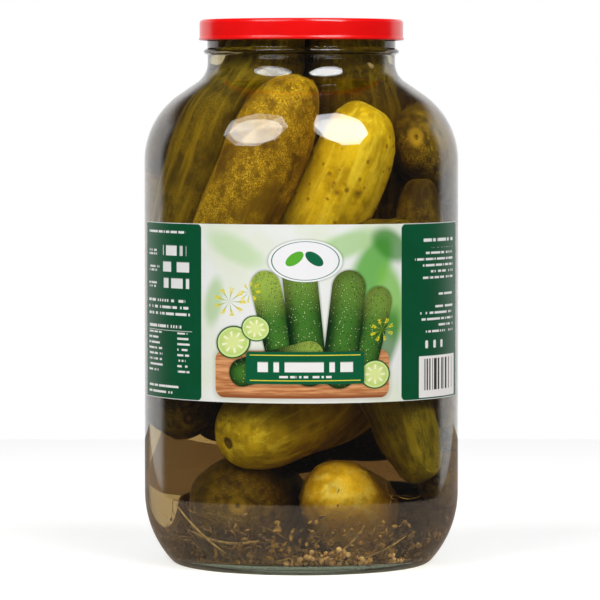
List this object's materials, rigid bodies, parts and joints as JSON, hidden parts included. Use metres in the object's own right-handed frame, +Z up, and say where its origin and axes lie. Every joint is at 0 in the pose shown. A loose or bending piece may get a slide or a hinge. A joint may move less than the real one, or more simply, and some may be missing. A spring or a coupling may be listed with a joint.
{
  "type": "pickle jar",
  "caption": "Large clear glass jar with a round shoulder, red twist-off steel cap and wrap-round front label, filled with whole gherkins in brine.",
  "frame": {"origin": "middle of the base, on the surface the jar stands on", "axes": "+Z up along the jar's axis; the middle of the label faces -Y, so a viewer in front looks along +Y with +X to the right"},
  "size_m": [0.1606, 0.1606, 0.2781],
  "materials": {
    "clear_glass": "clear blown glass with a faint green-grey tone",
    "red_lacquer": "glossy lacquer on pressed steel",
    "label_paper": "coated paper, satin",
    "brine": "clear olive-brown liquid",
    "pickle_skin": "wet waxy skin with warts, olive to golden green",
    "spice": "seeds and dill, matt and wet"
  },
  "bodies": {
    "root": {"jar": "clear_glass", "lid": "red_lacquer", "label": "label_paper", "brine": "brine"}
  },
  "joints": []
}
